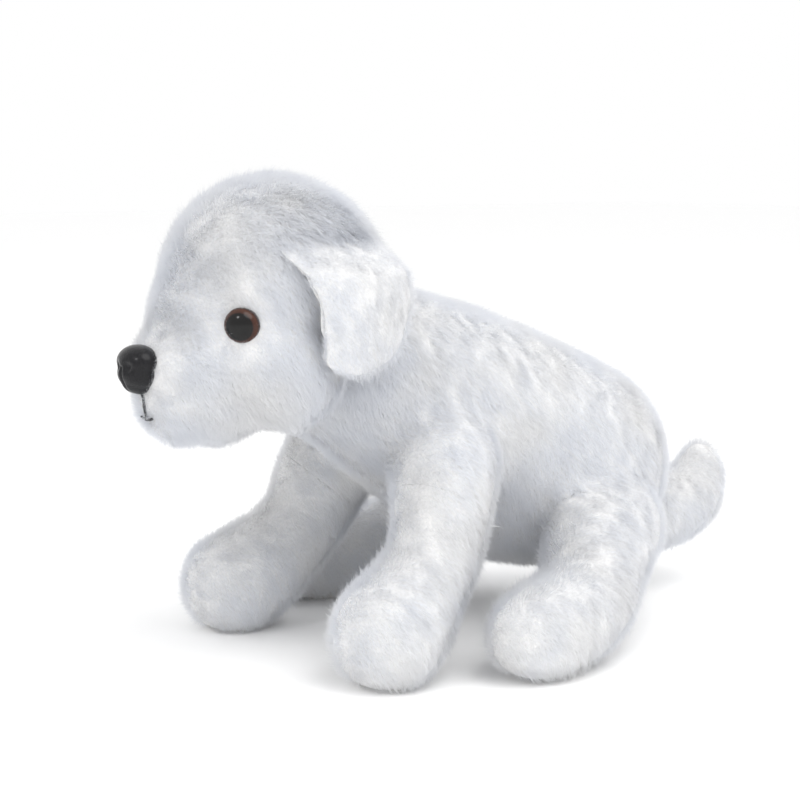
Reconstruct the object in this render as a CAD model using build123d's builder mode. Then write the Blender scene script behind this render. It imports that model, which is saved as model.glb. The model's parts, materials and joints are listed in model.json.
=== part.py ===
from build123d import *
import os
from math import acos, degrees

# Plush puppy, sitting on its haunches with the forelegs stretched forward.
# Millimetres. -Y is the way the puppy looks, +X is its left side, +Z is up.
# The origin is on the floor, under the middle of the toy's length and width.

# ---- fabric and thread ---------------------------------------------------
PLUSH = 4.0            # long-pile cover: knitted backing and the pile on it
SOLE = 3.0             # sole panel under each paw
EAR_LINING = 2.2       # short-pile lining on the ear's inner face
EAR_OUTER = 4.2        # long-pile outer ear
THREAD_RADIUS = 0.9    # embroidery thread of the mouth
SWING_GAP = 1.2        # air where a limb sweeps past the trunk

# ---- trunk: a body of revolution about a line from chest to rump ----------
CHEST = Vector(0, -41, 117)
RUMP = Vector(0, 67, 74)
NECK_REACH = 42        # how far the trunk goes on past the chest's centre
NECK_RADIUS = 37
CHEST_RADIUS = 43.5
WAIST = (58, 53)       # distance from the chest's centre, radius
RUMP_AT = 112
RUMP_RADIUS = 54
BELLY_DEPTH = 32       # the belly panel lies this far below the trunk's line

# ---- head ------------------------------------------------------------------
SKULL = Vector(0, -96, 157)
SKULL_RADIUS = 50
MUZZLE = Vector(0, -128, 125)
MUZZLE_RADIUS = 31.5
CHIN = Vector(0, -146, 108)
CHIN_RADIUS = 14
GUSSET_HALF = 17       # half the width of the strip from nose to nape
CHIN_SEAM_Z = 106
NECK_POCKET = 58       # radius of the hollow that the head turns in
NECK_WAD = (51.2, 57.4)
NECK_WAD_HALF_ANGLE = 30

# ---- eyes: 14.5 mm safety eyes ----------------------------------------------
EYE = Vector(32.5, -133.5, 144.5)
EYE_RADIUS = 7.25
EYE_DOME_RADIUS = 8.4
EYE_DISC = 1.6
EYE_SHANK_RADIUS = 2.4
EYE_SHANK = 13.0
EYE_WASHER_RADIUS = 7.0
EYE_WASHER = 1.6
EYE_WASHER_DEPTH = 6.0

# ---- nose --------------------------------------------------------------------
NOSE_Z = 129
NOSE_BACK_Y = -156.0
NOSE_DEPTH = 14.5
NOSE_HALF_WIDTH = 11.2
NOSE_TOP = 8.6
NOSE_DROP = 11.8
NOSE_ROUND = 5.5
NOSE_SHANK_RADIUS = 3.0
NOSE_SHANK = 15.0
NOSE_WASHER_RADIUS = 9.0
NOSE_WASHER = 2.0
NOSE_WASHER_DEPTH = 7.0
NOSTRIL_X = 4.6
NOSTRIL_RADIUS = 1.7

# ---- mouth ---------------------------------------------------------------------
MOUTH_TOP_Z = 119
MOUTH_Z = 107
MOUTH_Y = -160.3
MOUTH_HALF = 4.0

# ---- ears: pieces of a large ball that clears the skull ---------------------------
EAR_BALL = Vector(-28, -90, 145)
EAR_BALL_RADIUS = 81.8
EAR_OUTLINE = [
    (-116, 184), (-58, 182), (-59, 150), (-69, 126), (-88, 117), (-104, 122), (-107, 154)
]
EAR_CORNER = 8.0

# ---- forelegs -----------------------------------------------------------------------
SHOULDER = Vector(42, -38, 77)
SHOULDER_RADIUS = 26
FRONT_PAW = Vector(58, -80, 20)
FRONT_PAW_RADIUS = 25
FORELEG_SWING = (-25, 10)

# ---- hind legs -----------------------------------------------------------------------
HIP = Vector(44, 52, 44)
HIP_RADIUS = 30
HEEL = Vector(72, 24, 24)
HEEL_RADIUS = 25
SHANK_END_RADIUS = 24
HIND_PAW = Vector(84, -24, 20)
HIND_PAW_RADIUS = 23
HINDLEG_SWING = (-8, 20)

# ---- tail -----------------------------------------------------------------------------
TAIL_ROOT = Vector(0, 110, 34)
TAIL_ROOT_RADIUS = 20
TAIL_BEND = Vector(0, 151, 36)
TAIL_BEND_RADIUS = 17
TAIL_TIP = Vector(0, 159.5, 55)
TAIL_TIP_RADIUS = 11
TAIL_TAPER = 1         # the tip's limb starts this much slimmer than the bend
TAIL_WAG = 20

SWEEP_ROOT = 0.45      # a swept relief is this much slimmer at its root than the socket

X_AXIS = Vector(1, 0, 0)
pieces = {}


# ---- shapes used more than once -----------------------------------------------------------

def limb(start, end, start_radius, end_radius):
    """A round-ended segment whose side is tangent to the balls at its two ends."""
    along = end - start
    lean = (start_radius - end_radius) / along.length
    tangent = degrees(acos(lean))
    side = Plane(origin=start, x_dir=along, z_dir=along.cross(X_AXIS))
    with BuildPart() as segment:
        with BuildSketch(side):
            with BuildLine():
                back = CenterArc((0, 0), start_radius, 180, tangent - 180)
                front = CenterArc((along.length, 0), end_radius, tangent, -tangent)
                Line(back @ 1, front @ 0)
                Line(front @ 1, back @ 0)
            make_face()
        revolve(axis=Axis(start, along))
    return segment.part


def ball(centre, radius):
    """A plain ball."""
    with BuildPart() as round_part:
        with Locations(centre):
            Sphere(radius)
    return round_part.part


def mirrored(piece):
    """The same piece for the puppy's right side."""
    with BuildPart() as other_side:
        mirror(piece, about=Plane.YZ)
    return other_side.part


def join(*shapes):
    """Several overlapping shapes as one solid."""
    with BuildPart() as joined:
        for shape in shapes:
            add(shape)
    return joined.part


def cut(body, *tools):
    """A body less every tool."""
    with BuildPart() as rest:
        add(body)
        for tool in tools:
            add(tool, mode=Mode.SUBTRACT)
    return rest.part


def side_of(body, plane, keep=Keep.TOP):
    """The part of a body on one side of a plane."""
    with BuildPart() as half:
        add(body)
        split(bisect_by=plane, keep=keep)
    return half.part


def socket(start, end, start_radius, end_radius, direction, swing):
    """Cutting tools for the hollow that a limb turns in, from limit to limit."""
    reach = limb(start, end, start_radius + SWING_GAP - SWEEP_ROOT, end_radius + SWING_GAP)
    turn = Axis(start, direction)
    middle = (swing[0] + swing[1]) / 2
    positions = [reach.rotate(turn, angle) for angle in (swing[0], middle, swing[1])]
    return [ball(start, start_radius + SWING_GAP)] + positions


# ---- limbs ---------------------------------------------------------------------------------------

def foreleg(growth):
    return limb(
        SHOULDER, FRONT_PAW, SHOULDER_RADIUS + growth, FRONT_PAW_RADIUS + growth
    )


def hindleg(growth):
    thigh = limb(HIP, HEEL, HIP_RADIUS + growth, SHANK_END_RADIUS + growth)
    foot = limb(HEEL, HIND_PAW, HEEL_RADIUS + growth, HIND_PAW_RADIUS + growth)
    return join(thigh, foot)


def tail(growth):
    base = limb(TAIL_ROOT, TAIL_BEND, TAIL_ROOT_RADIUS + growth, TAIL_BEND_RADIUS + growth)
    tip = limb(TAIL_BEND, TAIL_TIP, TAIL_BEND_RADIUS - TAIL_TAPER + growth, TAIL_TIP_RADIUS + growth)
    return join(base, tip)


FLOOR = Plane.XY
SOLE_TOP = Plane.XY.offset(SOLE)


def leg_pieces(name, outer, inner, seam):
    """Cover halves, sole and filling of a left leg and, mirrored, of the right one."""
    standing = side_of(outer, FLOOR)
    above_sole = side_of(standing, SOLE_TOP)
    cover = cut(above_sole, inner)
    left = {
        "outer_cover": side_of(cover, seam),
        "inner_cover": side_of(cover, seam, Keep.BOTTOM),
        "sole": side_of(standing, SOLE_TOP, Keep.BOTTOM),
        "filling": side_of(inner, SOLE_TOP),
    }
    for kind, piece in left.items():
        pieces[f"{name}_left_{kind}"] = piece
        pieces[f"{name}_right_{kind}"] = mirrored(piece)


foreleg_line = FRONT_PAW - SHOULDER
foreleg_seam = Plane(
    origin=SHOULDER,
    x_dir=foreleg_line,
    z_dir=X_AXIS - foreleg_line * (X_AXIS.dot(foreleg_line) / foreleg_line.length**2),
)
leg_pieces("foreleg", foreleg(0), foreleg(-PLUSH), foreleg_seam)

hindleg_line = HIND_PAW - HIP
hindleg_seam = Plane(origin=HIP, x_dir=(0, 0, 1), z_dir=(-hindleg_line.Y, hindleg_line.X, 0))
leg_pieces("hindleg", hindleg(0), hindleg(-PLUSH), hindleg_seam)

tail_cover = cut(tail(0), tail(-PLUSH))
pieces["tail_left_cover"] = side_of(tail_cover, Plane.YZ)
pieces["tail_right_cover"] = side_of(tail_cover, Plane.YZ, Keep.BOTTOM)
pieces["tail_filling"] = tail(-PLUSH)


# ---- trunk ------------------------------------------------------------------------------------------

trunk_line = RUMP - CHEST
trunk_side = Plane(origin=CHEST, x_dir=trunk_line, z_dir=trunk_line.cross(X_AXIS))


def trunk(inset):
    """The trunk's full round body, smaller all over by the inset."""
    with BuildPart() as body:
        with BuildSketch(trunk_side):
            with BuildLine():
                flank = Spline(
                    (-NECK_REACH + inset, NECK_RADIUS - inset),
                    (0, CHEST_RADIUS - inset),
                    (WAIST[0], WAIST[1] - inset),
                    (RUMP_AT, RUMP_RADIUS - inset),
                    tangents=[(1, 0.15), (1, 0)],
                )
                seat = CenterArc((RUMP_AT, 0), RUMP_RADIUS - inset, 90, -90)
                Line(seat @ 1, (-NECK_REACH + inset, 0))
                Line((-NECK_REACH + inset, 0), flank @ 0)
            make_face()
        revolve(axis=Axis(CHEST, trunk_line))
    return body.part


left_hollows = [ball(SKULL, NECK_POCKET)]
left_hollows += socket(
    SHOULDER, FRONT_PAW, SHOULDER_RADIUS, FRONT_PAW_RADIUS, X_AXIS, FORELEG_SWING
)
left_hollows += socket(HIP, HEEL, HIP_RADIUS, SHANK_END_RADIUS, X_AXIS, HINDLEG_SWING)
left_hollows += socket(
    TAIL_ROOT, TAIL_BEND, TAIL_ROOT_RADIUS, TAIL_BEND_RADIUS, (0, 0, 1), (-TAIL_WAG, TAIL_WAG)
)

belly_down = trunk_line.cross(X_AXIS).normalized()
if belly_down.Z > 0:
    belly_down = belly_down * -1
belly_seam = Plane(origin=CHEST + belly_down * BELLY_DEPTH, x_dir=trunk_line, z_dir=belly_down)

left_cover = cut(side_of(cut(trunk(0), trunk(PLUSH)), Plane.YZ), *left_hollows)
back_left = side_of(left_cover, belly_seam, Keep.BOTTOM)
belly_left = side_of(left_cover, belly_seam)
filling_left = cut(side_of(trunk(PLUSH), Plane.YZ), *left_hollows)
pieces["back_left_panel"] = back_left
pieces["back_right_panel"] = mirrored(back_left)
pieces["belly_panel"] = join(belly_left, mirrored(belly_left))
pieces["trunk_filling"] = join(filling_left, mirrored(filling_left))


# ---- neck: a wad of filling between trunk and head ---------------------------------------------------

neck_line = CHEST - SKULL
with BuildPart() as neck_filling:
    with BuildSketch(Plane(origin=SKULL, x_dir=neck_line, z_dir=X_AXIS)):
        with BuildLine():
            near = CenterArc((0, 0), NECK_WAD[0], 0, NECK_WAD_HALF_ANGLE)
            far = CenterArc((0, 0), NECK_WAD[1], 0, NECK_WAD_HALF_ANGLE)
            Line(near @ 0, far @ 0)
            Line(near @ 1, far @ 1)
        make_face()
    revolve(axis=Axis(SKULL, neck_line))
pieces["neck_filling"] = neck_filling.part


# ---- eyes ----------------------------------------------------------------------------------------------

eye_out = (EYE - SKULL).normalized()
eye_face = Plane(origin=EYE, x_dir=eye_out, z_dir=eye_out.cross(Vector(0, 0, 1)))


def turned(corners, plane, centre, direction):
    """A solid turned from a closed half-profile about an axis."""
    with BuildPart() as spun:
        with BuildSketch(plane):
            with BuildLine():
                Polyline(*corners, close=True)
            make_face()
        revolve(axis=Axis(centre, direction))
    return spun.part


dome_rise = EYE_DOME_RADIUS - (EYE_DOME_RADIUS**2 - EYE_RADIUS**2) ** 0.5
with BuildPart() as eye_lens:
    with BuildSketch(eye_face):
        with BuildLine():
            cap = ThreePointArc(
                (0, EYE_RADIUS),
                (
                    dome_rise - EYE_DOME_RADIUS + (EYE_DOME_RADIUS**2 - (EYE_RADIUS / 2) ** 2) ** 0.5,
                    EYE_RADIUS / 2,
                ),
                (dome_rise, 0),
            )
            Line(cap @ 1, (0, 0))
            Line((0, 0), cap @ 0)
        make_face()
    revolve(axis=Axis(EYE, eye_out))

eye_back = turned(
    [
        (0, 0), (0, EYE_RADIUS), (-EYE_DISC, EYE_RADIUS), (-EYE_DISC, EYE_SHANK_RADIUS),
        (-EYE_SHANK, EYE_SHANK_RADIUS), (-EYE_SHANK, 0),
    ],
    eye_face, EYE, eye_out,
)
eye_washer = turned(
    [
        (-EYE_WASHER_DEPTH, EYE_SHANK_RADIUS),
        (-EYE_WASHER_DEPTH, EYE_WASHER_RADIUS),
        (-EYE_WASHER_DEPTH - EYE_WASHER, EYE_WASHER_RADIUS),
        (-EYE_WASHER_DEPTH - EYE_WASHER, EYE_SHANK_RADIUS),
    ],
    eye_face, EYE, eye_out,
)
eye_well = turned(
    [
        (EYE_DOME_RADIUS, 0), (EYE_DOME_RADIUS, EYE_RADIUS), (-EYE_DISC, EYE_RADIUS),
        (-EYE_DISC, EYE_SHANK_RADIUS), (-EYE_SHANK, EYE_SHANK_RADIUS), (-EYE_SHANK, 0),
    ],
    eye_face, EYE, eye_out,
)
for kind, piece in (("lens", eye_lens.part), ("iris", eye_back), ("washer", eye_washer)):
    pieces[f"eye_left_{kind}"] = piece
    pieces[f"eye_right_{kind}"] = mirrored(piece)


# ---- nose -----------------------------------------------------------------------------------------------

nose_seat = Vector(0, NOSE_BACK_Y, NOSE_Z)
nose_plane = Plane(origin=nose_seat, x_dir=X_AXIS, z_dir=(0, -1, 0))
nose_shank_plane = Plane(origin=nose_seat, x_dir=X_AXIS, z_dir=(0, 1, 0))
with BuildPart() as nose:
    with BuildSketch(nose_plane) as nose_outline:
        with BuildLine():
            Polyline(
                (-NOSE_HALF_WIDTH, NOSE_TOP),
                (NOSE_HALF_WIDTH, NOSE_TOP),
                (NOSE_HALF_WIDTH - 1, -1),
                (0, -NOSE_DROP),
                (-NOSE_HALF_WIDTH + 1, -1),
                close=True,
            )
        make_face()
        fillet(nose_outline.vertices(), radius=NOSE_ROUND)
    extrude(amount=NOSE_DEPTH)
    fillet(nose.faces().sort_by(Axis.Y)[0].edges(), radius=NOSE_ROUND - 0.5)
    with Locations(
        (NOSTRIL_X, NOSE_BACK_Y - NOSE_DEPTH + 0.4, NOSE_Z + 1),
        (-NOSTRIL_X, NOSE_BACK_Y - NOSE_DEPTH + 0.4, NOSE_Z + 1),
    ):
        Sphere(NOSTRIL_RADIUS, mode=Mode.SUBTRACT)
    with BuildSketch(nose_shank_plane):
        Circle(NOSE_SHANK_RADIUS)
    extrude(amount=NOSE_SHANK)

with BuildPart() as nose_washer:
    with BuildSketch(nose_shank_plane.offset(NOSE_WASHER_DEPTH)):
        Circle(NOSE_WASHER_RADIUS)
        Circle(NOSE_SHANK_RADIUS, mode=Mode.SUBTRACT)
    extrude(amount=NOSE_WASHER)

with BuildPart() as nose_well:
    with BuildSketch(nose_shank_plane.offset(NOSE_WASHER_DEPTH)):
        Circle(NOSE_WASHER_RADIUS)
    extrude(amount=NOSE_WASHER)

pieces["nose"] = nose.part
pieces["nose_washer"] = nose_washer.part


# ---- mouth ----------------------------------------------------------------------------------------------

with BuildPart() as mouth_thread:
    with BuildSketch(Plane(origin=(0, MOUTH_Y, MOUTH_Z), z_dir=(0, 0, 1))):
        Circle(THREAD_RADIUS)
    extrude(amount=MOUTH_TOP_Z - MOUTH_Z)
    with BuildSketch(Plane(origin=(0, MOUTH_Y, MOUTH_Z), x_dir=(0, 1, 0), z_dir=X_AXIS)):
        Circle(THREAD_RADIUS)
    extrude(amount=MOUTH_HALF, both=True)
mouth_thread = cut(mouth_thread.part, nose.part)
pieces["mouth_thread"] = mouth_thread


# ---- head -----------------------------------------------------------------------------------------------

def head(inset):
    """Skull, muzzle and chin as one round body, smaller all over by the inset."""
    face = limb(SKULL, MUZZLE, SKULL_RADIUS - inset, MUZZLE_RADIUS - inset)
    return join(face, ball(CHIN, CHIN_RADIUS - inset))


hardware = [eye_well, mirrored(eye_well), eye_washer, mirrored(eye_washer)]
hardware += [nose.part, nose_well.part]

head_cover = cut(cut(head(0), head(PLUSH)), *hardware, mouth_thread)
gusset_left = Plane.YZ.offset(GUSSET_HALF)
gusset_right = Plane.YZ.offset(-GUSSET_HALF)
chin_seam = Plane.XY.offset(CHIN_SEAM_Z)
upper_head = side_of(head_cover, chin_seam)
pieces["chin_panel"] = side_of(head_cover, chin_seam, Keep.BOTTOM)
pieces["head_left_panel"] = side_of(upper_head, gusset_left)
pieces["head_right_panel"] = side_of(upper_head, gusset_right, Keep.BOTTOM)
pieces["head_gusset"] = side_of(
    side_of(upper_head, gusset_left, Keep.BOTTOM), gusset_right
)
pieces["head_filling"] = cut(head(PLUSH), *hardware)


# ---- ears -----------------------------------------------------------------------------------------------

with BuildPart() as ear_blank:
    with BuildSketch(Plane.YZ) as ear_outline:
        with BuildLine():
            Polyline(*EAR_OUTLINE, close=True)
        make_face()
        fillet(ear_outline.vertices(), radius=EAR_CORNER)
    extrude(amount=SKULL_RADIUS * 2)


def ear_layer(inner_radius, thickness):
    """The ear's outline cut from one layer of the large ball."""
    layer = cut(ball(EAR_BALL, inner_radius + thickness), ball(EAR_BALL, inner_radius))
    with BuildPart() as flap:
        add(layer)
        add(ear_blank.part, mode=Mode.INTERSECT)
    return flap.part


ear_layers = (
    ("lining", ear_layer(EAR_BALL_RADIUS, EAR_LINING)),
    ("outer", ear_layer(EAR_BALL_RADIUS + EAR_LINING, EAR_OUTER)),
)
for kind, piece in ear_layers:
    pieces[f"ear_left_{kind}"] = piece
    pieces[f"ear_right_{kind}"] = mirrored(piece)


# ---- the files -------------------------------------------------------------------------------------------

os.makedirs("parts", exist_ok=True)
for name, piece in pieces.items():
    piece.label = name
    export_step(piece, f"parts/{name}.step")
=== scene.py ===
import json
import math

import bmesh
import bpy
from mathutils import Matrix, Vector, noise


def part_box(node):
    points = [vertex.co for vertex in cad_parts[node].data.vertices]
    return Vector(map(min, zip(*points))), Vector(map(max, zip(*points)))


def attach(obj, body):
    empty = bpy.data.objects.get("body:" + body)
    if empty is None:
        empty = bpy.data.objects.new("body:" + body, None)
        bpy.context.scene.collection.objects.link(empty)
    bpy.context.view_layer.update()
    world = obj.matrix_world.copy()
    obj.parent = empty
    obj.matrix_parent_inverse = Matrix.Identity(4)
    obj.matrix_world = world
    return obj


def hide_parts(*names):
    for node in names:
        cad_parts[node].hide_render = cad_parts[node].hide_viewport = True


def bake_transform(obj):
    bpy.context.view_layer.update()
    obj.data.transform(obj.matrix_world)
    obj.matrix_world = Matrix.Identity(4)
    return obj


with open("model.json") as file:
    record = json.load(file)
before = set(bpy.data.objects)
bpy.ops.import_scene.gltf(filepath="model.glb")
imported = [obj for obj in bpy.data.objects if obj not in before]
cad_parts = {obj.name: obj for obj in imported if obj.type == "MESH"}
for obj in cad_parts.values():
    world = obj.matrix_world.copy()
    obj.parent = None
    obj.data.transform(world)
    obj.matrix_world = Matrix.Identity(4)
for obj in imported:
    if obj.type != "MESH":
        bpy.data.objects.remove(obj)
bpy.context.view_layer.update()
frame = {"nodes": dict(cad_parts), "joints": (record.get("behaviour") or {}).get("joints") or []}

MM = 0.001
SIDES = (("left", 1), ("right", -1))
joints = {joint["name"]: joint for joint in frame["joints"]}


def spot(x, y, z):
    """A place given in millimetres."""
    return Vector((x, y, z)) * MM


def pivot(joint):
    return Vector(joints[joint]["pos_m"])


SKULL = pivot("head_nod")
PILE_DEPTH = 4.5 * MM
nose_low, nose_high = (Vector(corner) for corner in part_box("nose"))
NOSE = Vector((0, nose_low.y, (nose_low.z + nose_high.z) / 2))


# ---- stage, lights and camera ------------------------------------------------------

def node_material(name, roughness=0.9):
    material = bpy.data.materials.new(name)
    material.use_nodes = True
    shader = material.node_tree.nodes["Principled BSDF"]
    shader.inputs["Roughness"].default_value = roughness
    return material, material.node_tree, shader


def piece_from(name, mesh_bm, smooth=True):
    """Turns a finished bmesh into an object in the scene."""
    mesh = bpy.data.meshes.new(name)
    mesh_bm.to_mesh(mesh)
    mesh_bm.free()
    for face in mesh.polygons:
        face.use_smooth = smooth
    piece = bpy.data.objects.new(name, mesh)
    bpy.context.scene.collection.objects.link(piece)
    return piece


FLOOR_HALF = 6


def make_stage():
    bm = bmesh.new()
    bmesh.ops.create_grid(bm, x_segments=1, y_segments=1, size=FLOOR_HALF)
    floor = piece_from("floor", bm)
    material, tree, shader = node_material("pale_floor")
    shader.inputs["Base Color"].default_value = (0.99, 0.99, 0.99, 1)
    floor.data.materials.append(material)


def area_light(name, place, target, size, power, colour=(1, 1, 1)):
    light = bpy.data.lights.new(name, "AREA")
    light.shape = "DISK"
    light.size = size
    light.energy = power
    light.color = colour
    lamp = bpy.data.objects.new(name, light)
    lamp.location = place
    lamp.rotation_euler = (Vector(target) - Vector(place)).to_track_quat("-Z", "Y").to_euler()
    bpy.context.scene.collection.objects.link(lamp)


def make_lights():
    world = bpy.data.worlds.new("studio")
    world.use_nodes = True
    sky = world.node_tree.nodes["Background"]
    sky.inputs["Color"].default_value = (1.0, 1.0, 1.0, 1)
    sky.inputs["Strength"].default_value = 1.0
    bpy.context.scene.world = world
    area_light(
        "key", place=(0.95, 0.1, 1.5), target=(0, 0, 0.08), size=1.5, power=14,
        colour=(1.0, 0.995, 0.985),
    )
    area_light(
        "catch", place=(0.3, -0.95, 0.75), target=(0, -0.1, 0.15), size=0.24, power=1.3,
    )


CAMERA_PLACE = Vector((0.6312, -0.5111, 0.2106))
CAMERA_TURN = math.radians(52.695)
CAMERA_DIP = math.radians(7.522)
SENSOR_MM = 36
LENS_MM = 81.92


def make_camera():
    data = bpy.data.cameras.new("camera")
    data.sensor_width = SENSOR_MM
    data.lens = LENS_MM
    data.clip_start = 0.01
    camera = bpy.data.objects.new("camera", data)
    camera.location = CAMERA_PLACE
    camera.rotation_euler = (math.pi / 2 - CAMERA_DIP, 0, CAMERA_TURN)
    bpy.context.scene.collection.objects.link(camera)
    bpy.context.scene.camera = camera
    bpy.context.scene.view_settings.view_transform = "Standard"


# ---- stuffed shapes ------------------------------------------------------------------

def lobe(bm, centre, radii, turn=None, depth=PILE_DEPTH, rings=3):
    """One egg-shaped lobe of a stuffed shape, sized to the fabric under the pile."""
    sizes = [radius * MM - depth for radius in radii]
    place = Matrix.Translation(centre) @ (turn or Matrix.Identity(4))
    place = place @ Matrix.Diagonal((*sizes, 1))
    bmesh.ops.create_icosphere(bm, subdivisions=rings, radius=1, matrix=place)


def row_of_lobes(bm, stops, step=6 * MM):
    """Round lobes set close together along a line of (place, radius) stops."""
    for (start, start_radius), (end, end_radius) in zip(stops, stops[1:]):
        count = max(1, math.ceil((end - start).length / step))
        for i in range(count + 1):
            share = i / count
            radius = start_radius + (end_radius - start_radius) * share
            lobe(bm, start.lerp(end, share), (radius,) * 3)


def fused(bm, voxel, rounds):
    """Joins overlapping lobes into one skin and eases the folds between them."""
    rough = piece_from("rough", bm)
    remesh = rough.modifiers.new("remesh", "REMESH")
    remesh.mode = "VOXEL"
    remesh.voxel_size = voxel
    graph = bpy.context.evaluated_depsgraph_get()
    skin = bmesh.new()
    skin.from_mesh(bpy.data.meshes.new_from_object(rough.evaluated_get(graph)))
    bpy.data.objects.remove(rough)
    for _ in range(rounds):
        bmesh.ops.smooth_vert(
            skin, verts=skin.verts, factor=0.5, use_axis_x=True, use_axis_y=True, use_axis_z=True
        )
    return skin


STUFFING_PRESSURE = 4.0
SETTLE_FRAMES = 20
MOST_SWELL = 2.5 * MM


def stuffed(skin):
    """Lets a skin swell as sewn fabric does when it is filled, by no more than the cap."""
    rest = [vert.co.copy() for vert in skin.verts]
    bag = piece_from("bag", skin)
    cloth = bag.modifiers.new("cloth", "CLOTH")
    cloth.settings.use_pressure = True
    cloth.settings.uniform_pressure_force = STUFFING_PRESSURE
    cloth.settings.effector_weights.gravity = 0
    cloth.settings.quality = 4
    cloth.point_cache.frame_start = 1
    cloth.point_cache.frame_end = SETTLE_FRAMES
    for step in range(1, SETTLE_FRAMES + 1):
        bpy.context.scene.frame_set(step)
    graph = bpy.context.evaluated_depsgraph_get()
    swollen = bmesh.new()
    swollen.from_mesh(bpy.data.meshes.new_from_object(bag.evaluated_get(graph)))
    bpy.data.objects.remove(bag)
    for vert, start in zip(swollen.verts, rest):
        move = vert.co - start
        if move.length > MOST_SWELL:
            vert.co = start + move.normalized() * MOST_SWELL
    for _ in range(2):
        bmesh.ops.smooth_vert(
            swollen, verts=swollen.verts, factor=0.5, use_axis_x=True, use_axis_y=True,
            use_axis_z=True,
        )
    return swollen


def flatten_below(bm, height):
    """Presses a skin flat where it rests on the floor."""
    for vert in bm.verts:
        if vert.co.z < height:
            vert.co.z = height


FORELEG_STOPS = (
    (38, -34, 84, 27), (44, -42, 67, 25.5), (46.5, -44, 57, 23.8), (49, -50, 45, 23),
    (52, -61, 34, 24), (55, -71, 26, 27), (58, -81, 19.5, 28),
)
HINDLEG_STOPS = (
    (42, 56, 46, 30), (52, 42, 41, 29), (62, 29, 33, 27), (71, 20, 25, 25),
    (80, 0, 19.5, 25.5), (87, -23, 18, 25), (88, -32, 17, 21.5),
)
TRUNK_STOPS = (
    (0, -74, 129, 37), (0, -58, 124, 40), (0, -41, 117, 43.5), (0, -14, 105.5, 48),
    (0, 12, 94, 51), (0, 40, 81, 52.5), (0, 67, 69, 53),
)
BELLY_STOPS = (
    (0, -40, 104, 36), (0, -20, 91, 37), (0, 0, 77, 38), (0, 18, 64, 38), (0, 40, 58, 38),
    (0, 67, 62, 42),
)
TAIL_STOPS = (
    (0, 98, 44, 25), (0, 118, 38, 23.5), (0, 140, 38, 22.5), (0, 154, 43, 20.5),
    (0, 160, 52, 17.5), (0, 160, 62, 14),
)


BODY_VOXEL = 4 * MM
HEAD_VOXEL = 3.5 * MM
PAW_FLOOR = 0.8 * MM


def stops_in(rows, side=1):
    return [(spot(side * x, y, z), radius) for x, y, z, radius in rows]


def body_skin():
    """Trunk, four legs and tail as one skin, before it is parted at the seams."""
    bm = bmesh.new()
    row_of_lobes(bm, stops_in(TRUNK_STOPS))
    row_of_lobes(bm, stops_in(BELLY_STOPS))
    row_of_lobes(bm, stops_in(TAIL_STOPS))
    for _, side in SIDES:
        row_of_lobes(bm, stops_in(FORELEG_STOPS, side))
        row_of_lobes(bm, stops_in(HINDLEG_STOPS, side))
    skin = stuffed(fused(bm, BODY_VOXEL, 5))
    flatten_below(skin, PAW_FLOOR)
    return skin


def head_skin():
    bm = bmesh.new()
    lobe(bm, SKULL, (51, 51, 51), rings=4)
    lobe(bm, spot(0, -122, 147), (37, 32, 32))
    lobe(bm, spot(0, -129, 125), (34.5, 33, 32.5))
    lobe(bm, spot(0, -143, 127), (25, 22.5, 22))
    lobe(bm, spot(0, -143, 113), (21, 20, 18))
    lobe(bm, spot(0, -145, 107), (14.5, 14.5, 14.5))
    for _, side in SIDES:
        lobe(bm, spot(side * 24, -108, 130), (29, 31, 31))
    return stuffed(fused(bm, HEAD_VOXEL, 3))


# ---- parting the skin at the seams ---------------------------------------------------------

def gap_to(place, stops):
    """How far a place is outside a row of lobes, negative inside."""
    gaps = []
    for (start, start_radius), (end, end_radius) in zip(stops, stops[1:]):
        way = end - start
        share = min(1.0, max(0.0, (place - start).dot(way) / way.length_squared))
        radius = (start_radius + (end_radius - start_radius) * share) * MM
        gaps.append((place - start - way * share).length - radius)
    return min(gaps)


def parted(bm, seam, towards, own_stops, other_stops):
    """Cuts a limb off a skin and returns it: what lies past its flat seam and nearest its line."""
    bmesh.ops.bisect_plane(
        bm, geom=bm.verts[:] + bm.edges[:] + bm.faces[:], plane_co=seam, plane_no=towards,
        dist=1e-6,
    )

    def owned(face):
        middle = face.calc_center_median()
        if (middle - seam).dot(towards) <= 0:
            return False
        own = gap_to(middle, own_stops)
        return all(own < gap_to(middle, stops) for stops in other_stops)

    mine = {face for face in bm.faces if owned(face)}
    tip = own_stops[-1][0]
    limb = {min(mine, key=lambda face: (face.calc_center_median() - tip).length)}
    edge_of_limb = list(limb)
    while edge_of_limb:
        for edge in edge_of_limb.pop().edges:
            for near in edge.link_faces:
                if near in mine and near not in limb:
                    limb.add(near)
                    edge_of_limb.append(near)
    marks = [face in limb for face in bm.faces]
    limb_bm = bm.copy()
    limb_bm.faces.ensure_lookup_table()
    bmesh.ops.delete(
        limb_bm, geom=[f for f, mark in zip(limb_bm.faces, marks) if not mark], context="FACES"
    )
    bmesh.ops.delete(bm, geom=list(limb), context="FACES")
    return limb_bm


def facing_out(bm):
    """Turns a closed skin's faces outwards."""
    bmesh.ops.recalc_face_normals(bm, faces=bm.faces)
    if bm.calc_volume(signed=True) < 0:
        bmesh.ops.reverse_faces(bm, faces=bm.faces)


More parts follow.
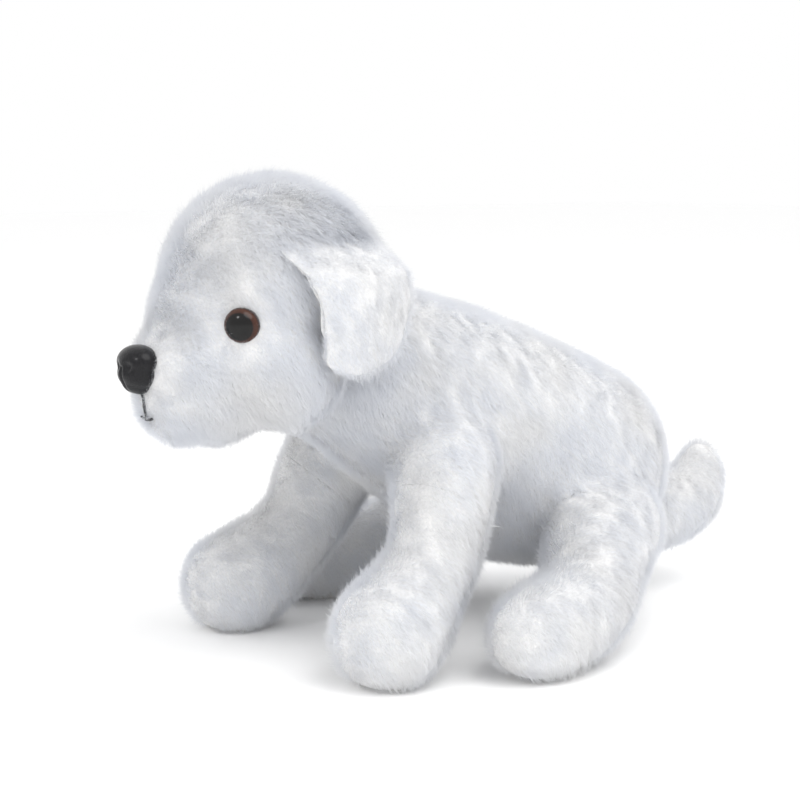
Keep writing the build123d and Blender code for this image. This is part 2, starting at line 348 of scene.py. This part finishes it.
def close_seams(bm):
    """Caps every cut with a bare wall, which no pile grows on."""
    bare = bm.faces.layers.float.get("bare") or bm.faces.layers.float.new("bare")
    sharp = bm.edges.layers.float.get("crease_edge") or bm.edges.layers.float.new("crease_edge")
    rims = [edge for edge in bm.edges if edge.is_boundary]
    for edge in rims:
        edge[sharp] = 1.0
    walls = bmesh.ops.holes_fill(bm, edges=rims, sides=0)["faces"]
    for wall in bmesh.ops.triangulate(bm, faces=walls)["faces"]:
        wall[bare] = 1.0
    facing_out(bm)
    if any(not edge.is_manifold for edge in bm.edges):
        raise ValueError("a parted skin isn't closed")


# ---- pile -----------------------------------------------------------------------------------

FIBRES_IN_TUFT = 10
FIBRE_WIDTH = 0.014
FIBRE_TURN = 2.4
FIBRE_FOOT = -0.08
BEND_NARROWING = 0.85
TIP_NARROWING = 0.08


def make_tuft():
    """A few tapered fibres that lean one way: the shape that the pile repeats."""
    bm = bmesh.new()
    for i in range(FIBRES_IN_TUFT):
        turn = i * FIBRE_TURN
        reach = 0.08 + 0.52 * ((i * 0.618) % 1)
        root = Vector((math.cos(turn) * reach, math.sin(turn) * reach, FIBRE_FOOT))
        across = Matrix.Rotation(turn * 1.3, 3, "Z") @ Vector((0, FIBRE_WIDTH, 0))
        height = 0.44 + 0.14 * ((i * 0.37) % 1)
        fan = 0.20 * math.sin(turn * 1.7)
        foot = [bm.verts.new(root - across), bm.verts.new(root + across)]
        edge = bm.edges.new(foot)
        bend = Vector((0.28, fan * 0.4, height * 0.55))
        tip = Vector((0.42 + 0.12 * math.cos(turn), fan * 0.6, height * 0.5))
        for move, narrowing in ((bend, BEND_NARROWING), (tip, TIP_NARROWING)):
            grown = bmesh.ops.extrude_edge_only(bm, edges=[edge])["geom"]
            verts = [part for part in grown if isinstance(part, bmesh.types.BMVert)]
            edge = next(part for part in grown if isinstance(part, bmesh.types.BMEdge)
                        and all(vert in verts for vert in part.verts))
            middle = (verts[0].co + verts[1].co) / 2
            bmesh.ops.scale(
                bm, vec=(narrowing,) * 3, space=Matrix.Translation(-middle), verts=verts
            )
            bmesh.ops.translate(bm, vec=move, verts=verts)
        bmesh.ops.pointmerge(bm, verts=verts, merge_co=(verts[0].co + verts[1].co) / 2)
    mesh = bpy.data.meshes.new("tuft")
    bm.to_mesh(mesh)
    bm.free()
    return bpy.data.objects.new("tuft", mesh)


def link(tree, source, output, target, socket):
    tree.links.new(source.outputs[output], target.inputs[socket])


def make_pile_nodes(tuft):
    """The pile: tufts spread over a skin, leaning the way its comb attribute says."""
    tree = bpy.data.node_groups.new("pile", "GeometryNodeTree")
    tree.interface.new_socket("Geometry", in_out="INPUT", socket_type="NodeSocketGeometry")
    density = tree.interface.new_socket("Density", in_out="INPUT", socket_type="NodeSocketFloat")
    density.default_value = 250000
    seed = tree.interface.new_socket("Seed", in_out="INPUT", socket_type="NodeSocketInt")
    seed.default_value = 1
    tree.interface.new_socket("Pile", in_out="INPUT", socket_type="NodeSocketMaterial")
    tree.interface.new_socket("Geometry", in_out="OUTPUT", socket_type="NodeSocketGeometry")
    nodes = tree.nodes
    inlet = nodes.new("NodeGroupInput")
    outlet = nodes.new("NodeGroupOutput")

    def attribute(name, kind):
        node = nodes.new("GeometryNodeInputNamedAttribute")
        node.data_type = kind
        node.inputs["Name"].default_value = name
        return node

    cover = attribute("cover", "FLOAT")
    wall = attribute("bare", "FLOAT")
    length = attribute("pile_length", "FLOAT")
    comb = attribute("comb", "FLOAT_VECTOR")
    thick = nodes.new("ShaderNodeMath")
    thick.operation = "MULTIPLY"
    link(tree, inlet, "Density", thick, 0)
    tree.links.new(cover.outputs["Attribute"], thick.inputs[1])
    open_skin = nodes.new("ShaderNodeMath")
    open_skin.operation = "SUBTRACT"
    open_skin.inputs[0].default_value = 1.0
    tree.links.new(wall.outputs["Attribute"], open_skin.inputs[1])
    spread = nodes.new("ShaderNodeMath")
    spread.operation = "MULTIPLY"
    link(tree, thick, 0, spread, 0)
    link(tree, open_skin, 0, spread, 1)
    scatter = nodes.new("GeometryNodeDistributePointsOnFaces")
    link(tree, inlet, "Geometry", scatter, "Mesh")
    link(tree, spread, 0, scatter, "Density")
    link(tree, inlet, "Seed", scatter, "Seed")

    upright = nodes.new("FunctionNodeAlignRotationToVector")
    upright.axis = "Z"
    link(tree, scatter, "Normal", upright, "Vector")
    combed = nodes.new("FunctionNodeAlignRotationToVector")
    combed.axis = "X"
    combed.pivot_axis = "Z"
    link(tree, upright, "Rotation", combed, "Rotation")
    tree.links.new(comb.outputs["Attribute"], combed.inputs["Vector"])

    stray = nodes.new("FunctionNodeRandomValue")
    stray.data_type = "FLOAT_VECTOR"
    stray.inputs["Min"].default_value = (-0.12, -0.12, -0.30)
    stray.inputs["Max"].default_value = (0.12, 0.10, 0.30)
    stray.inputs["Seed"].default_value = 3
    turned = nodes.new("FunctionNodeEulerToRotation")
    link(tree, stray, "Value", turned, "Euler")
    ruffled = nodes.new("FunctionNodeRotateRotation")
    ruffled.rotation_space = "LOCAL"
    link(tree, combed, "Rotation", ruffled, "Rotation")
    link(tree, turned, "Rotation", ruffled, "Rotate By")

    uneven = nodes.new("FunctionNodeRandomValue")
    uneven.data_type = "FLOAT"
    uneven.inputs[2].default_value = 0.78
    uneven.inputs[3].default_value = 1.18
    uneven.inputs["Seed"].default_value = 5
    size = nodes.new("ShaderNodeMath")
    size.operation = "MULTIPLY"
    tree.links.new(length.outputs["Attribute"], size.inputs[0])
    tree.links.new(uneven.outputs[1], size.inputs[1])

    under = nodes.new("GeometryNodeStoreNamedAttribute")
    under.data_type = "FLOAT_VECTOR"
    under.domain = "POINT"
    under.inputs["Name"].default_value = "skin_normal"
    link(tree, scatter, "Points", under, "Geometry")
    link(tree, scatter, "Normal", under, "Value")
    shape = nodes.new("GeometryNodeObjectInfo")
    shape.inputs["Object"].default_value = tuft
    plant = nodes.new("GeometryNodeInstanceOnPoints")
    link(tree, under, "Geometry", plant, "Points")
    link(tree, shape, "Geometry", plant, "Instance")
    link(tree, ruffled, "Rotation", plant, "Rotation")
    link(tree, size, 0, plant, "Scale")
    real = nodes.new("GeometryNodeRealizeInstances")
    link(tree, plant, "Instances", real, "Geometry")
    skin_way = attribute("skin_normal", "FLOAT_VECTOR")
    own_way = nodes.new("GeometryNodeInputNormal")
    toward = nodes.new("ShaderNodeMix")
    toward.data_type = "VECTOR"
    toward.inputs[0].default_value = 0.9
    link(tree, own_way, "Normal", toward, 4)
    tree.links.new(skin_way.outputs["Attribute"], toward.inputs[5])
    eased = nodes.new("GeometryNodeSetMeshNormal")
    eased.mode = "FREE"
    eased.domain = "POINT"
    link(tree, real, "Geometry", eased, "Mesh")
    tree.links.new(toward.outputs[1], eased.inputs["Custom Normal"])
    paint = nodes.new("GeometryNodeSetMaterial")
    link(tree, eased, "Mesh", paint, "Geometry")
    link(tree, inlet, "Pile", paint, "Material")
    both = nodes.new("GeometryNodeJoinGeometry")
    link(tree, paint, "Geometry", both, "Geometry")
    link(tree, inlet, "Geometry", both, "Geometry")
    link(tree, both, "Geometry", outlet, "Geometry")
    return tree


BODY_DENSITY = 265000
HEAD_DENSITY = 370000
SWIRLS = ((0.034, 0.22, 3), (0.009, 0.14, 8))


def wander(place, scale, amount, shift):
    """A slow swirl, the same on every run."""
    return noise.noise_vector(place / scale + Vector((shift, shift * 2, -shift))) * amount


def grow_pile(piece, backing, pile, comb, length, cover=None, density=BODY_DENSITY, seed=1):
    """Writes how the pile lies on a skin, and puts the pile on it."""
    mesh = piece.data
    mesh.materials.clear()
    mesh.materials.append(backing)
    mesh.materials.append(pile)
    normals = [vert.normal.copy() for vert in mesh.vertices]
    combs = mesh.attributes.new("comb", "FLOAT_VECTOR", "POINT")
    lengths = mesh.attributes.new("pile_length", "FLOAT", "POINT")
    covers = mesh.attributes.new("cover", "FLOAT", "POINT")
    for vert, normal in zip(mesh.vertices, normals):
        place = vert.co
        way = comb(place)
        for swirl in SWIRLS:
            way = way + wander(place, *swirl)
        combs.data[vert.index].vector = way - normal * way.dot(normal)
        lengths.data[vert.index].value = length(place) * MM
        covers.data[vert.index].value = cover(place, normal) if cover else 1.0
    rounder = piece.modifiers.new("rounder", "SUBSURF")
    rounder.levels = 1
    rounder.render_levels = 1
    grower = piece.modifiers.new("pile", "NODES")
    grower.node_group = pile_nodes
    for item in pile_nodes.interface.items_tree:
        if item.name == "Density":
            grower[item.identifier] = float(density)
        if item.name == "Seed":
            grower[item.identifier] = seed
        if item.name == "Pile":
            grower[item.identifier] = pile


# ---- finishes --------------------------------------------------------------------------------

def coordinates(tree):
    return tree.nodes.new("ShaderNodeTexCoord").outputs["Object"]


def noise_node(tree, scale, detail=3.0):
    node = tree.nodes.new("ShaderNodeTexNoise")
    node.inputs["Scale"].default_value = scale
    node.inputs["Detail"].default_value = detail
    tree.links.new(coordinates(tree), node.inputs["Vector"])
    return node.outputs["Fac"]


def ramp(tree, source, stops):
    node = tree.nodes.new("ShaderNodeValToRGB")
    band = node.color_ramp
    while len(band.elements) < len(stops):
        band.elements.new(0.5)
    for element, (position, colour) in zip(band.elements, stops):
        element.position = position
        element.color = (*colour, 1)
    tree.links.new(source, node.inputs["Fac"])
    return node.outputs["Color"]


def mixed_colour(tree, factor, first, second, mode="MIX"):
    node = tree.nodes.new("ShaderNodeMix")
    node.data_type = "RGBA"
    node.blend_type = mode
    values = {0: factor, 6: first, 7: second}
    for socket, value in ((node.inputs[i], value) for i, value in values.items()):
        if isinstance(value, bpy.types.NodeSocket):
            tree.links.new(value, socket)
        elif isinstance(value, (int, float)):
            socket.default_value = value
        else:
            socket.default_value = (*value, 1)
    return node.outputs[2]


def make_pile_finish(name, clean, warm):
    """White pile: fibres that pass some light, with a slow drift from cool to warm."""
    material, tree, shader = node_material(name, 0.75)
    drift = ramp(tree, noise_node(tree, 28.0), [(0.42, clean), (0.66, warm)])
    fibre = tree.nodes.new("ShaderNodeNewGeometry").outputs["Random Per Island"]
    shade = ramp(tree, fibre, [(0.0, (0.94, 0.94, 0.95)), (1.0, (1.0, 1.0, 1.0))])
    colour = mixed_colour(tree, 1.0, drift, shade, "MULTIPLY")
    tree.links.new(colour, shader.inputs["Base Color"])
    shader.inputs["Sheen Weight"].default_value = 0.25
    shader.inputs["Specular IOR Level"].default_value = 0.08
    through = tree.nodes.new("ShaderNodeBsdfTranslucent")
    tree.links.new(colour, through.inputs["Color"])
    both = tree.nodes.new("ShaderNodeMixShader")
    both.inputs["Fac"].default_value = 0.5
    tree.links.new(shader.outputs["BSDF"], both.inputs[1])
    tree.links.new(through.outputs["BSDF"], both.inputs[2])
    output = tree.nodes["Material Output"]
    tree.links.new(both.outputs["Shader"], output.inputs["Surface"])
    return material


def make_backing_finish(name, colour):
    """Knitted backing that shows between the fibres."""
    material, tree, shader = node_material(name, 0.95)
    knit = noise_node(tree, 900.0, 2.0)
    tree.links.new(
        ramp(tree, knit, [(0.3, tuple(c * 0.85 for c in colour)), (0.7, colour)]),
        shader.inputs["Base Color"],
    )
    return material


make_stage()
make_lights()
make_camera()

white_pile = make_pile_finish("white_pile", (0.868, 0.882, 0.908), (0.885, 0.888, 0.892))
lining_pile = make_pile_finish("lining_pile", (0.86, 0.82, 0.77), (0.84, 0.78, 0.71))
white_backing = make_backing_finish("white_backing", (0.84, 0.835, 0.83))
pile_nodes = make_pile_nodes(make_tuft())


# ---- trunk, legs and tail ------------------------------------------------------------------

skin = body_skin()


def limb_way(rows, side=1):
    """Unit vector from a limb's root to its far end."""
    first = spot(side * rows[0][0], *rows[0][1:3])
    last = spot(side * rows[-1][0], *rows[-1][1:3])
    return (last - first).normalized()


class Limb:
    """A leg or the tail: where its seam lies, and over which stretch it bends, in millimetres."""

    def __init__(self, name, body, joint, way, seam, bend, stops, nodes):
        self.name = name
        self.body = body
        self.root = pivot(joint)
        self.way = way
        self.seam = self.root + way * seam * MM
        self.bend_start = self.root + way * bend[0] * MM
        self.bend_end = self.root + way * bend[1] * MM
        self.stops = stops
        self.nodes = nodes


HIP_LINE = ((44, 52, 44), (71, 20, 25))

limbs = []
for side_name, side in SIDES:
    limbs.append(Limb(
        f"foreleg_{side_name}", f"{side_name}_foreleg", f"{side_name}_foreleg_swing",
        limb_way(FORELEG_STOPS, side), 12, (24, 50), stops_in(FORELEG_STOPS, side),
        [f"foreleg_{side_name}_{kind}" for kind in ("outer_cover", "inner_cover", "filling")],
    ))
    limbs.append(Limb(
        f"hindleg_{side_name}", f"{side_name}_hindleg", f"{side_name}_hindleg_swing",
        limb_way(HIP_LINE, side), 8, (14, 44), stops_in(HINDLEG_STOPS, side),
        [f"hindleg_{side_name}_{kind}" for kind in ("outer_cover", "inner_cover", "filling")],
    ))
limbs.append(Limb(
    "tail", "tail", "tail_wag", Vector((0, 1, 0)), 10, (14, 34), stops_in(TAIL_STOPS),
    ["tail_left_cover", "tail_right_cover", "tail_filling"],
))

limb_skins = [
    parted(
        skin, limb.seam, limb.way, limb.stops,
        [stops_in(TRUNK_STOPS), stops_in(BELLY_STOPS)]
        + [other.stops for other in limbs if other is not limb],
    )
    for limb in limbs
]

PAIR_TOLERANCE = 0.1
FLOW_REACH = 26 * MM
BODY_PILE = 6.6
LOW_PILE = 6.0
LOW_BAND = 12 * MM
NECK_EXTRA = 4.0
SOLE_BAND = 4 * MM
SOLE_SLOPE = -0.75


def nearness(place, limb):
    """How much the pile at a place follows a limb, from 0 beyond its reach to 1 on it."""
    return max(0.0, 1 - max(0.0, gap_to(place, limb.stops)) / FLOW_REACH)


def trunk_comb(place):
    way = Vector((place.x * 6, 0.9, -0.55))
    for limb in limbs:
        near = nearness(place, limb)
        way = way.lerp(limb.way * 1.2, near * near)
    return way


NECK_TUFTS = spot(30, -66, 112)
TUFTS_REACH = 45 * MM


def trunk_length(place):
    """Longer tufts at the sides of the neck; at the seams as long as the limbs' pile."""
    beside = Vector((abs(place.x), place.y, place.z))
    tufts = max(0.0, 1 - (beside - NECK_TUFTS).length / TUFTS_REACH)
    near = max(nearness(place, limb) for limb in limbs)
    return BODY_PILE + NECK_EXTRA * tufts * (1 - near)


def towards_tip(way):
    return lambda place: way + Vector((0, 0, -0.35))


def leg_length(place):
    return BODY_PILE if place.z > LOW_BAND else LOW_PILE


def off_the_floor(place, normal):
    """No pile on the part of a paw that rests on the floor."""
    return 0.0 if normal.z < SOLE_SLOPE and place.z < SOLE_BAND else 1.0


close_seams(skin)
trunk = piece_from("trunk_skin", skin)
grow_pile(trunk, white_backing, white_pile, trunk_comb, trunk_length, seed=11)
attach(trunk, "trunk")
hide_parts("back_left_panel", "back_right_panel", "belly_panel", "trunk_filling")

for limb_bm in limb_skins:
    close_seams(limb_bm)
volumes = {limb.name: limb_bm.calc_volume() for limb, limb_bm in zip(limbs, limb_skins)}
for leg in ("foreleg", "hindleg"):
    pair = [volumes[f"{leg}_{name}"] for name, _ in SIDES]
    if abs(pair[0] - pair[1]) > PAIR_TOLERANCE * max(pair):
        raise ValueError(f"the two {leg} skins were parted differently: {pair}")

for i, (limb, limb_bm) in enumerate(zip(limbs, limb_skins)):
    piece = piece_from(f"{limb.name}_skin", limb_bm)
    grow_pile(
        piece, white_backing, white_pile, towards_tip(limb.way), leg_length, off_the_floor,
        seed=20 + i,
    )
    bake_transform(piece)
    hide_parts(*limb.nodes)


# ---- head -----------------------------------------------------------------------------------

EAR_ROOT = spot(36, -90, 186)
ROOT_REACH = 26 * MM


def by_ear_root(place):
    off = Vector((abs(place.x) - EAR_ROOT.x, (place.y - EAR_ROOT.y) * 0.5, place.z - EAR_ROOT.z))
    return max(0.0, 1 - off.length / ROOT_REACH)


def head_comb(place):
    way = (place - NOSE).normalized() + Vector((0, 0.3, -0.25))
    return way.lerp(Vector((math.copysign(1.0, place.x), 0.1, -0.6)), by_ear_root(place))


EYES = {
    name: sum((Vector(corner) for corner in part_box(f"eye_{name}_iris")), Vector()) / 2
    for name, _ in SIDES
}
EYE_CLEAR = 6.7 * MM
MOUTH_LOW, MOUTH_HIGH = (Vector(corner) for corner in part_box("mouth_thread"))
HEAD_PILE = 7.0
EAR_ROOT_EXTRA = 3.0
MUZZLE_PILE = 2.4
MUZZLE_FADE = 0.0065
EYE_RIM_PILE = 3.2
EYE_RIM_FADE = 0.006


def head_length(place):
    from_nose = (place - NOSE).length
    from_eye = min((place - eye).length for eye in EYES.values())
    return min(
        HEAD_PILE + EAR_ROOT_EXTRA * by_ear_root(place),
        MUZZLE_PILE + from_nose / MUZZLE_FADE,
        EYE_RIM_PILE + from_eye / EYE_RIM_FADE,
    )


def clear_of_features(place, normal):
    near_eye = any((place - eye).length < EYE_CLEAR for eye in EYES.values())
    near_mouth = (
        abs(place.x) < 0.7 * MM
        and MOUTH_LOW.z - MM < place.z < MOUTH_HIGH.z
        and place.y < MOUTH_HIGH.y + 6 * MM
    )
    return 0.0 if near_eye or near_mouth else 1.0


head = piece_from("head_skin", head_skin())
grow_pile(
    head, white_backing, white_pile, head_comb, head_length, clear_of_features,
    density=HEAD_DENSITY, seed=31,
)
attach(head, "head")
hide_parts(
    "head_left_panel", "head_right_panel", "head_gusset", "chin_panel", "head_filling"
)


# ---- ears -----------------------------------------------------------------------------------

EAR_FOLD = 166 * MM
EAR_TOP = 186 * MM
EAR_SEAT = 42 * MM
EAR_CUP = 5 * MM
EAR_MIDDLE = spot(0, -88, 150)
EAR_DROP = 0.84
EAR_FORWARD = 7 * MM
EAR_SHIFT = 3 * MM
EAR_HALF_WIDTH = 30 * MM
MOST_CUP = 1.4
EAR_VOXEL = 1.6 * MM


def ear_layer_skin(node, voxel, rounds):
    """One layer of an ear, with its cut edges rounded over like turned fabric."""
    bm = bmesh.new()
    bm.from_mesh(frame["nodes"][node].data)
    bmesh.ops.remove_doubles(bm, verts=bm.verts, dist=1e-6)
    flap = fused(bm, voxel, rounds)
    for vert in flap.verts:
        above = min(1.0, max(0.0, (vert.co.z - EAR_FOLD) / (EAR_TOP - EAR_FOLD)))
        vert.co.y -= EAR_SHIFT
        off = vert.co - SKULL
        on_skull = math.sqrt(max(0.0, EAR_SEAT ** 2 - off.y ** 2 - off.z ** 2))
        tucked = math.copysign(on_skull, vert.co.x)
        vert.co.x += (tucked - vert.co.x) * above
        beside = (vert.co.y - EAR_MIDDLE.y) / EAR_HALF_WIDTH
        vert.co.x -= math.copysign(EAR_CUP * min(MOST_CUP, beside ** 2), vert.co.x)
        vert.co.y -= EAR_FORWARD * above if vert.co.y < SKULL.y else 0.0
        if vert.co.z < EAR_FOLD:
            vert.co.z = EAR_FOLD - (EAR_FOLD - vert.co.z) * EAR_DROP
    return flap


def ear_comb(place):
    out = Vector((0, place.y - EAR_MIDDLE.y, place.z - EAR_MIDDLE.z)) / EAR_HALF_WIDTH
    return Vector((0, 0.2, -0.75)) + out * 0.7


for name, side in SIDES:
    for layer, pile, length, thickness in (
        ("outer", white_pile, 4.8, 400000), ("lining", lining_pile, 2.4, 150000),
    ):
        node = f"ear_{name}_{layer}"
        flap = piece_from(f"ear_{name}_{layer}_skin", ear_layer_skin(node, EAR_VOXEL, 14))
        grow_pile(
            flap, white_backing, pile, ear_comb, lambda place, most=length: most,
            density=thickness, seed=41 + side,
        )
        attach(flap, f"{name}_ear")
        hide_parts(node)


# ---- eyes, nose, mouth and the parts inside -----------------------------------------------------

def bumped(tree, shader, height, strength, distance):
    bump = tree.nodes.new("ShaderNodeBump")
    bump.inputs["Strength"].default_value = strength
    bump.inputs["Distance"].default_value = distance
    tree.links.new(height, bump.inputs["Height"])
    tree.links.new(bump.outputs["Normal"], shader.inputs["Normal"])


def painted(names, material):
    for name in names:
        data = frame["nodes"][name].data
        data.materials.clear()
        data.materials.append(material)


def make_nose_finish():
    material, tree, shader = node_material("nose_plastic", 0.33)
    shader.inputs["Specular IOR Level"].default_value = 0.2
    shader.inputs["Specular Tint"].default_value = (0.55, 0.55, 0.58, 1)
    shader.inputs["Coat Weight"].default_value = 0.3
    shader.inputs["Coat Roughness"].default_value = 0.18
    grain = noise_node(tree, 1500.0, 2.0)
    tree.links.new(
        ramp(tree, grain, [(0.3, (0.004, 0.004, 0.005)), (0.75, (0.012, 0.0115, 0.013))]),
        shader.inputs["Base Color"],
    )
    bumped(tree, shader, grain, 0.5, 0.0004)
    return material


def make_thread_finish():
    material, tree, shader = node_material("black_thread", 0.7)
    twist = tree.nodes.new("ShaderNodeTexWave")
    twist.inputs["Scale"].default_value = 420.0
    twist.bands_direction = "DIAGONAL"
    tree.links.new(coordinates(tree), twist.inputs["Vector"])
    strands = [(0.2, (0.006, 0.006, 0.007)), (0.9, (0.04, 0.038, 0.04))]
    tree.links.new(ramp(tree, twist.outputs["Fac"], strands), shader.inputs["Base Color"])
    bumped(tree, shader, twist.outputs["Fac"], 0.7, 0.0003)
    return material


EYE_RADIUS = 7.25
EYE_HEIGHT = 5.6
PUPIL_SHARE = 0.76
EYE_SEAT = 1.6 * MM
GAZE_LIFT = Vector((0, 0, 0.17))
EYE_LIFT = spot(0, 1, 1.6)


def make_eye_finish(name, centre, facing):
    """Black pupil in a brown iris with fine rays, painted on a polished dome."""
    material, tree, shader = node_material(name, 0.35)
    shift = tree.nodes.new("ShaderNodeVectorMath")
    shift.operation = "SUBTRACT"
    tree.links.new(coordinates(tree), shift.inputs[0])
    shift.inputs[1].default_value = centre
    out = tree.nodes.new("ShaderNodeVectorMath")
    out.operation = "CROSS_PRODUCT"
    tree.links.new(shift.outputs["Vector"], out.inputs[0])
    out.inputs[1].default_value = facing
    reach = tree.nodes.new("ShaderNodeVectorMath")
    reach.operation = "LENGTH"
    tree.links.new(out.outputs["Vector"], reach.inputs[0])
    share = tree.nodes.new("ShaderNodeMath")
    share.operation = "MULTIPLY"
    share.inputs[1].default_value = 1 / (EYE_RADIUS * MM)
    tree.links.new(reach.outputs["Value"], share.inputs[0])
    band = ramp(tree, share.outputs["Value"], [
        (0.0, (0.002, 0.002, 0.002)), (PUPIL_SHARE - 0.03, (0.003, 0.002, 0.002)),
        (PUPIL_SHARE + 0.04, (0.050, 0.016, 0.009)), (0.93, (0.080, 0.027, 0.014)),
        (1.0, (0.02, 0.010, 0.008)),
    ])
    rays = ramp(
        tree, noise_node(tree, 1800.0, 4.0), [(0.3, (0.6, 0.6, 0.6)), (0.7, (1.0, 1.0, 1.0))]
    )
    tree.links.new(mixed_colour(tree, 1.0, band, rays, "MULTIPLY"), shader.inputs["Base Color"])
    shader.inputs["Specular IOR Level"].default_value = 0.1
    shader.inputs["Coat Weight"].default_value = 0.5
    shader.inputs["Coat Roughness"].default_value = 0.04
    return material


def make_speckled_finish(name, dark, light, scale, roughness, depth):
    material, tree, shader = node_material(name, roughness)
    grain = noise_node(tree, scale, 4.0)
    tree.links.new(ramp(tree, grain, [(0.35, dark), (0.65, light)]), shader.inputs["Base Color"])
    bumped(tree, shader, grain, 0.6, depth)
    return material


NOSTRILS = [Vector((side * 3.8, -167.8, 130.0)) * MM for _, side in SIDES]
NOSTRIL_REACH = 1.9 * MM
NOSE_MIDDLE = -160 * MM
NOSTRIL_DEPTH = 1.5 * MM
CREASE_DEPTH = 0.9 * MM


def rounded_nose():
    """A moulded nose: broad and round at the top, narrow below, with two nostrils."""
    bm = bmesh.new()
    lobe(bm, spot(0, -160.2, 131.4), (10.2, 8.0, 7.0), depth=0, rings=4)
    lobe(bm, spot(0, -160.2, 127.6), (9.2, 8.2, 7.6), depth=0, rings=4)
    lobe(bm, spot(0, -159.8, 124.4), (6.2, 7.4, 6.0), depth=0, rings=4)
    nose_bm = fused(bm, 0.6 * MM, 5)
    for vert in nose_bm.verts:
        if vert.co.y < NOSE_MIDDLE:
            near = min((vert.co - hole).length for hole in NOSTRILS)
            vert.co.y += NOSTRIL_DEPTH * math.exp(-((near / NOSTRIL_REACH) ** 2))
            if vert.co.z < NOSTRILS[0].z:
                vert.co.y += CREASE_DEPTH * math.exp(-((vert.co.x / (0.8 * MM)) ** 2))
    bmesh.ops.recalc_face_normals(nose_bm, faces=nose_bm.faces)
    return nose_bm


nose = piece_from("nose_moulding", rounded_nose())
nose.data.materials.append(make_nose_finish())
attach(nose, "head")
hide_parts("nose")

THREAD_RADIUS = 0.7 * MM
THREAD_LIFT = 0.2 * MM
CHIN_PATCH = 2.5 * MM
MOUTH_HALF = 4


def chin_front(x, z):
    """How far forward the chin's fabric reaches at a place on the face."""
    near = [v.co.y for v in head.data.vertices
            if abs(v.co.x - x) < CHIN_PATCH and abs(v.co.z - z) < CHIN_PATCH]
    return min(near)


def stitched_mouth():
    """Black thread laid on the chin: down from the nose and out to both sides."""
    bm = bmesh.new()
    down = [(0, z) for z in (119, 117, 115, 113, 111, 109)]
    across = [(x, 108 + 0.045 * x * x) for x in range(-MOUTH_HALF, MOUTH_HALF + 1)]
    for line in (down, across):
        laid = [
            Vector((x * MM, chin_front(x * MM, z * MM) - THREAD_LIFT, z * MM)) for x, z in line
        ]
        for start, end in zip(laid, laid[1:]):
            for i in range(7):
                lobe(bm, start.lerp(end, i / 6), (THREAD_RADIUS / MM,) * 3, depth=0, rings=2)
    return fused(bm, 0.4 * MM, 1)


mouth = piece_from("mouth_stitch", stitched_mouth())
mouth.data.materials.append(make_thread_finish())
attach(mouth, "head")
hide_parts("mouth_thread")

for name, _ in SIDES:
    washer_low, washer_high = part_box(f"eye_{name}_washer")
    lens_low, lens_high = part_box(f"eye_{name}_lens")
    facing = ((lens_low + lens_high) - (washer_low + washer_high)).normalized()
    gaze = (facing + GAZE_LIFT).normalized()
    seat = (lens_low + lens_high) / 2 - facing * EYE_SEAT + EYE_LIFT
    bm = bmesh.new()
    lobe(
        bm, seat, (EYE_RADIUS, EYE_RADIUS, EYE_HEIGHT),
        facing.to_track_quat("Z", "Y").to_matrix().to_4x4(), depth=0, rings=5,
    )
    dome = piece_from(f"eye_{name}_dome", bm)
    dome.data.materials.append(make_eye_finish(f"eye_{name}_brown", seat, gaze))
    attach(dome, "head")
    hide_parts(f"eye_{name}_lens", f"eye_{name}_iris")

painted(
    ["eye_left_washer", "eye_right_washer", "nose_washer"],
    make_speckled_finish(
        "washer_plastic", (0.72, 0.72, 0.70), (0.82, 0.82, 0.80), 400.0, 0.45, 0.0001
    ),
)

SOLE_SHARE = (0.66, 0.66, 1)
WAD_SHARE = (0.55, 0.55, 0.55)


def shrunk(node, name, share, finish, body):
    """A CAD shape drawn in about its own middle, so that it stays under the pile."""
    low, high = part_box(node)
    bm = bmesh.new()
    bm.from_mesh(frame["nodes"][node].data)
    bmesh.ops.remove_doubles(bm, verts=bm.verts, dist=1e-6)
    bmesh.ops.scale(
        bm, vec=share, space=Matrix.Translation(-(low + high) / 2), verts=bm.verts
    )
    piece = piece_from(name, bm, smooth=False)
    piece.data.materials.append(finish)
    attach(piece, body)
    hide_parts(node)


sole_finish = make_speckled_finish(
    "sole_plush", (0.70, 0.69, 0.67), (0.80, 0.79, 0.77), 1400.0, 0.95, 0.0004
)
for leg in ("foreleg", "hindleg"):
    for name, _ in SIDES:
        node = f"{leg}_{name}_sole"
        shrunk(node, f"{node}_pad", SOLE_SHARE, sole_finish, f"{name}_{leg}")
shrunk(
    "neck_filling", "neck_wad", WAD_SHARE,
    make_speckled_finish(
        "fibre_filling", (0.80, 0.80, 0.79), (0.90, 0.90, 0.89), 700.0, 0.95, 0.0008
    ),
    "neck",
)
